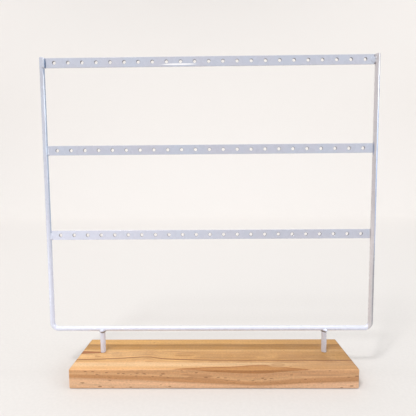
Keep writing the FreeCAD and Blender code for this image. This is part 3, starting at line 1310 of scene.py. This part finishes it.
# How a seam's drops lie: how far its end drops stand in from its ends, in radii; how far and how quickly the
# row sways from drop to drop; and how flat the drops are.
END_INSET = 0.8
SWAY = 0.12 * MM
SWAY_STEP = 2.4
FLATNESS = 0.85
# Half of the gap between a bar's end and the rod, and how a seam that is laid from behind lies: the radius of
# its thickest drop, and how far its front stays behind the bar's front.
HALF_ROOT_GAP = 0.15 * MM
BACK_SEAM_RADIUS = 1.6 * MM
BACK_SEAM_SETBACK = 0.25 * MM


def seam_drops(
    length: float, rise: float, thin: float, thick: float, count: int, back: float = 0.0, left: float = 0.0
) -> list[Drop]:
    """Lays drops up a bar's end, growing thicker towards the bottom.

    Args:
        length: The seam's length.
        rise: How far its middle lies above the joint's middle.
        thin: Radius of the top drop.
        thick: Radius of the bottom drop.
        count: How many drops.
        back: How far the seam lies behind the joint's plane.
        left: How far it lies to the left of the joint.

    Returns:
        The drops, from the bottom up.
    """
    drops = []
    reach = length / 2 - (thin + thick) / 2 * END_INSET
    for i in range(count):
        share = i / (count - 1)
        radius = thick + (thin - thick) * share
        sway = SWAY * math.sin(SWAY_STEP * i)
        place = Vector((sway - left, back + sway / 2, rise - reach + 2 * reach * share))
        drops.append(Drop(place, Vector((radius, radius, radius * FLATNESS))))
    return drops


def bar_weld(level: Level, side: Side, rod: Space) -> WeldBead:
    """Chooses the bead at one end of a bar.

    Args:
        level: Which bar.
        side: Which end.
        rod: The box of the rod that the bar is welded to.

    Returns:
        The bead, still to be built.
    """
    bar = Space.of(level.value)
    face_x = rod.high.x - rod.size.y
    joint = Vector((side.value * (face_x - HALF_ROOT_GAP), bar.middle.y, bar.middle.z))
    behind = BACK_SEAM_RADIUS - bar.size.y / 2 + BACK_SEAM_SETBACK
    choices = {
        (Level.TOP, Side.LEFT): seam_drops(10.2 * MM, -0.3 * MM, 1.7 * MM, 2.0 * MM, 6, -0.9 * MM, 0.6 * MM),
        (Level.TOP, Side.RIGHT): seam_drops(6.2 * MM, -0.2 * MM, 1.5 * MM, 1.6 * MM, 4),
        (Level.MIDDLE, Side.LEFT): seam_drops(9.0 * MM, -0.1 * MM, 1.4 * MM, 1.7 * MM, 7),
        (Level.MIDDLE, Side.RIGHT): seam_drops(7.8 * MM, 0.1 * MM, 1.4 * MM, BACK_SEAM_RADIUS, 6, behind),
        (Level.LOWER, Side.LEFT): seam_drops(6.8 * MM, -0.9 * MM, 1.3 * MM, 1.7 * MM, 5),
        (Level.LOWER, Side.RIGHT): seam_drops(7.6 * MM, -0.1 * MM, 1.4 * MM, BACK_SEAM_RADIUS, 6, behind),
    }
    drops = choices[level, side]
    if (level, side) == (Level.TOP, Side.RIGHT):
        front = -bar.size.y / 2
        spread = Drop(Vector((-1.4 * MM, front, -0.3 * MM)), Vector((2.9 * MM, 0.55 * MM, 3.2 * MM)))
        knob = Drop(Vector((0.2 * MM, front - 0.5 * MM, 0.9 * MM)), Vector((1.1 * MM, 0.8 * MM, 1.0 * MM)))
        drops = drops + [spread, knob]
    return WeldBead(f"{level.value}_{side.word}_weld", joint, drops)


def post_weld(side: Side, rod: Space) -> WeldBead:
    """Lays the bead round a post's top, with wings along the run and a blob on its front.

    Args:
        side: Which post.
        rod: The box of the rod that the post carries.

    Returns:
        The bead, still to be built.
    """
    post = Space.of(side.word + "_post")
    radius = post.size.x / 2
    joint = Vector((post.middle.x, post.middle.y, rod.low.z))
    drops = []
    ring_count = 9
    ring_depth = 0.8
    lift, waver = 0.5 * MM, 0.15 * MM
    for i in range(ring_count):
        angle = 2 * math.pi * i / ring_count
        along, out = math.cos(angle), math.sin(angle)
        rise = lift * abs(out) + waver * math.sin(3 * angle)
        place = Vector((radius * along, radius * ring_depth * out, rise))
        drops.append(Drop(place, Vector((1.1, 1.0, 1.1)) * MM))
    for sign in (-1, 1):
        wing = Vector((sign * (radius + 0.5 * MM), 0, 0.7 * MM))
        drops.append(Drop(wing, Vector((1.1, 1.2, 0.8)) * MM))
    blob = Vector((0.2 * MM, -radius - 0.2 * MM, 0.6 * MM))
    drops.append(Drop(blob, Vector((1.7, 1.0, 1.9)) * MM))
    core = Vector((radius, radius * 0.9, 1.2 * MM))
    drops.append(Drop(Vector((0, 0, 0)), core))
    return WeldBead(side.word + "_post_weld", joint, drops)


@dataclass
class PanHeadScrew:
    """A cross-recessed pan-head screw and its washer, up through the base into a post.

    The crown's start is a share of its quarter turn, and its smoothing stops at an angle in degrees.
    """

    side: Side
    head_height: float = 2.4 * MM
    head_radius: float = 2.8 * MM
    crown_steps: int = 6
    crown_start: float = 0.25
    crown_curve: float = 1.6
    rim_height: float = 0.9 * MM
    shank_radius: float = 1.45 * MM
    tip_bevel: float = 0.4 * MM
    recess_span: float = 3.0 * MM
    recess_slot: float = 0.8 * MM
    recess_depth: float = 1.4 * MM
    recess_taper: Pair = (0.55, 0.8)
    thread_start: float = 0.5 * MM
    thread_pitch: float = 0.5 * MM
    thread_depth: float = 0.25 * MM
    smooth_below: float = 40.0
    washer_hole: float = 1.6 * MM
    washer_rounding: float = 0.08 * MM

    def build(self, finishes: Finishes) -> None:
        """Models the screw and its washer."""
        space = Space.of(self.side.word + "_screw")
        piece = turned(space.foot, self._profile(space.size.z))
        for turn in (0.0, math.pi / 2):
            drill(piece, self._recess_bar(space.foot, turn))
        pick(piece)
        bpy.ops.object.shade_smooth_by_angle(angle=math.radians(self.smooth_below))
        finishes.plate(piece, self.side.word + "_screw")
        self._build_washer(finishes)

    def _profile(self, length: float) -> list[Pair]:
        """Radius and height of each ring, from the crown of the head to the tip."""
        rings = []
        crown = self.head_height - self.rim_height
        for i in range(self.crown_steps + 1):
            angle = math.pi / 2 * (self.crown_start + (1 - self.crown_start) * i / self.crown_steps)
            height = crown * (1 - math.cos(angle)) ** self.crown_curve
            rings.append((self.head_radius * math.sin(angle), height))
        rings.append((self.head_radius, self.head_height))
        rings.append((self.shank_radius, self.head_height))
        start, end = self.head_height + self.thread_start, length - self.tip_bevel
        turns = int((end - start) / self.thread_pitch)
        for i in range(turns):
            height = start + i * self.thread_pitch
            rings.append((self.shank_radius, height))
            rings.append((self.shank_radius - self.thread_depth, height + self.thread_pitch / 2))
        rings.append((self.shank_radius, end))
        rings.append((self.shank_radius - self.tip_bevel, length))
        return rings

    def _recess_bar(self, bottom: Vector, turn: float) -> Piece:
        """Makes the tapered bar that cuts two arms of the cross recess."""
        half = Vector((self.recess_span / 2, self.recess_slot / 2, 0))
        tool = block(-half - Vector((0, 0, self.recess_depth)), half + Vector((0, 0, self.recess_depth)))
        for vertex in tool.data.vertices:
            vertex.select = vertex.co.z > 0
        with editing(tool):
            bpy.ops.transform.resize(value=(*self.recess_taper, 1), center_override=(0, 0, 0))
        tool.rotation_euler.z = turn
        tool.location = bottom
        fix_place(tool)
        return tool

    def _build_washer(self, finishes: Finishes) -> None:
        """Models the plain washer between the head and the wood."""
        node = self.side.word + "_washer"
        space = Space.of(node)
        thickness = space.size.z
        piece = turned(space.foot, [(space.size.x / 2, 0.0), (space.size.x / 2, thickness)])
        drill(piece, turned(space.foot, [(self.washer_hole, -thickness), (self.washer_hole, 2 * thickness)]))
        ease_edges(piece, self.washer_rounding, segments=2)
        finishes.plate(piece, node)


# The studio


@dataclass(frozen=True)
class SoftLight:
    """A soft rectangular lamp.

    Attributes:
        name: Its name.
        place: Where it stands.
        target: Where it points.
        size: Its width and height.
        power: Its strength, in watts.
        colour: Its colour.
        gloss_only: Whether it only mirrors in the gloss, like a far window.
    """

    name: str
    place: Triple
    target: Triple
    size: Pair
    power: float
    colour: Triple
    gloss_only: bool = False

    def build(self) -> None:
        """Places the lamp."""
        deselect()
        bpy.ops.object.light_add(type="AREA", location=self.place)
        lamp = bpy.context.object
        lamp.name = self.name
        lamp.data.shape = "RECTANGLE"
        lamp.data.size, lamp.data.size_y = self.size
        lamp.data.energy = self.power
        lamp.data.color = self.colour
        lamp.visible_diffuse = not self.gloss_only
        aim = Vector(self.target) - Vector(self.place)
        lamp.rotation_euler = aim.to_track_quat("-Z", "Y").to_euler()


@dataclass
class Studio:
    """A plain pale sweep, soft light and the camera."""

    camera_place: Vector
    yaw: float = -0.01241
    pitch: float = 0.06967
    roll: float = 0.00753
    lens: float = 27.846
    nearest: float = 0.01
    sensor: float = 36.0
    floor_colour: Colour = srgb(207, 204, 201)
    wall_colour: Colour = srgb(247, 244, 241)
    floor_size: Pair = (8, 4)
    floor_middle_y: float = -0.6
    curve_radius: float = 0.8
    curve_steps: int = 16
    wall_height: float = 4
    wall_tone_from_mm: float = 1500.0
    paper_scale: float = 0.35
    paper_tone: Pair = (0.97, 1.0)
    floor_roughness: float = 0.9
    touch: float = 0.01
    sky_colour: Colour = srgb(253, 249, 247)
    sky_strength: float = 0.46
    lights: tuple[SoftLight, ...] = (
        SoftLight("key", (-0.42, -0.68, 1.4), (0, 0, 0.05), (0.2, 0.2), 10.0, (1.0, 0.99, 0.98)),
        SoftLight("overhead", (0.0, -0.1, 1.9), (0, 0, 0), (1.6, 1.0), 8.3, (1.0, 0.99, 0.985)),
        SoftLight("wash_left", (-2.4, 0.4, 2.2), (-1.8, 2.2, 0.8), (3.0, 0.6), 23.0, (0.985, 0.99, 1.0)),
        SoftLight("wash_right", (2.4, 0.4, 2.2), (1.8, 2.2, 0.8), (3.0, 0.6), 25.5, (0.985, 0.99, 1.0)),
        SoftLight("front_fill", (-0.9, -1.15, 1.5), (0, 0, 0.1), (0.6, 0.6), 7.0, (0.97, 0.985, 1.0)),
        SoftLight("low_left", (-0.27, -0.12, 0.06), (-0.15, 0, 0.3), (0.1, 0.1), 0.055, (1.0, 0.99, 1.0)),
        SoftLight("right_fill", (1.1, -0.6, 0.6), (0, 0, 0.2), (0.6, 0.6), 3.6, (0.78, 0.9, 1.0)),
        SoftLight("window", (0.8, -0.55, 0.52), (0, 0, 0.25), (0.56, 0.17), 3.5, (0.84, 0.93, 1.0), True),
        SoftLight("window_low", (0.8, -0.55, 0.31), (0, 0, 0.2), (0.56, 0.24), 2.2, (0.62, 0.80, 1.0), True),
    )

    def build(self, effects: Effects) -> None:
        """Sets up the whole studio."""
        self._build_camera()
        self._build_sweep(effects)
        self._build_sky()
        for light in self.lights:
            light.build()
        bpy.context.scene.view_settings.view_transform = "Standard"

    def _build_camera(self) -> None:
        """Places the camera at the photograph's viewing angle."""
        deselect()
        bpy.ops.object.camera_add(location=self.camera_place)
        camera = bpy.context.object
        camera.data.sensor_width = self.sensor
        camera.data.lens = self.lens
        camera.data.clip_start = self.nearest
        level = math.cos(self.pitch)
        ahead = Vector((math.sin(self.yaw) * level, math.cos(self.yaw) * level, -math.sin(self.pitch)))
        right = Vector((math.cos(self.yaw), -math.sin(self.yaw), 0))
        down = ahead.cross(right)
        picture_x = math.cos(self.roll) * right + math.sin(self.roll) * down
        picture_y = math.sin(self.roll) * right - math.cos(self.roll) * down
        turn = Matrix((picture_x, picture_y, -ahead)).transposed()
        camera.matrix_world = Matrix.Translation(self.camera_place) @ turn.to_4x4()
        bpy.context.scene.camera = camera

    def _build_sweep(self, effects: Effects) -> None:
        """Makes the floor that curves up behind into a wall."""
        deselect()
        bpy.ops.mesh.primitive_plane_add(size=1, location=(0, self.floor_middle_y, 0))
        floor = bpy.context.object
        floor.scale = (*self.floor_size, 1)
        fix_place(floor)
        back_y = self.floor_middle_y + self.floor_size[1] / 2
        for edge in floor.data.edges:
            ends = [floor.data.vertices[i].co for i in edge.vertices]
            edge.select = all(end.y > back_y - self.touch for end in ends)
        for vertex in floor.data.vertices:
            vertex.select = vertex.co.y > back_y - self.touch
        for face in floor.data.polygons:
            face.select = False
        centre = (0, back_y, self.curve_radius)
        with editing(floor):
            bpy.ops.mesh.select_mode(type="EDGE")
            bpy.ops.mesh.spin(steps=self.curve_steps, angle=-math.pi / 2, center=centre, axis=(1, 0, 0))
            bpy.ops.mesh.extrude_edges_move(TRANSFORM_OT_translate={"value": (0, 0, self.wall_height)})
            bpy.ops.mesh.select_all(action="SELECT")
            bpy.ops.mesh.normals_make_consistent(inside=False)
        bpy.ops.object.shade_smooth()
        floor.name = "floor"
        floor.data.materials.append(self._make_paper(effects))

    def _make_paper(self, effects: Effects) -> Material:
        """Makes the sweep's pale, faintly cloudy paper."""
        desk, shader, material = new_material("pale_floor")
        place = desk.object_mm()
        _, depth, _ = desk.split(place)
        colour = desk.mix(depth.slide(0.0, self.wall_tone_from_mm), self.floor_colour, self.wall_colour)
        tone = effects.mottled(place, self.paper_scale, *self.paper_tone)
        colour = desk.mix(1.0, colour, desk.combine(tone, tone, tone), "MULTIPLY")
        desk.feed(shader.inputs["Base Color"], colour)
        shader.inputs["Roughness"].default_value = self.floor_roughness
        return material

    def _build_sky(self) -> None:
        """Lights the studio evenly from all round."""
        world = bpy.data.worlds.new("soft_room")
        world.use_nodes = True
        background = world.node_tree.nodes["Background"]
        background.inputs["Color"].default_value = self.sky_colour
        background.inputs["Strength"].default_value = self.sky_strength
        bpy.context.scene.world = world


def main() -> None:
    """Builds the studio and the stand, piece by piece."""
    logging.basicConfig(level=logging.INFO, format="%(message)s")
    rod = Space.of("frame_rod")
    board = Space.of("base_board")
    effects = Effects.make()
    finishes = Finishes(PowderCoat().make(effects), OiledWood(board).make(effects), ZincPlate().make(effects))
    Studio(camera_place=Vector((2.09, -302.28, 180.26)) * MM).build(effects)
    bent_frame = BentFrame(rod)
    posts = [Post(side, bent_frame.run_z) for side in Side]
    WoodenBase(board, [post.space.middle for post in posts]).build(finishes)
    bent_frame.build(finishes)
    PunchedBars().build(finishes)
    for post in posts:
        post.build(finishes)
        post_weld(post.side, rod).build(finishes)
        PanHeadScrew(post.side).build(finishes)
    for level in Level:
        for side in Side:
            bar_weld(level, side, rod).build(finishes)
    deselect()


if __name__ == "__main__":
    main()
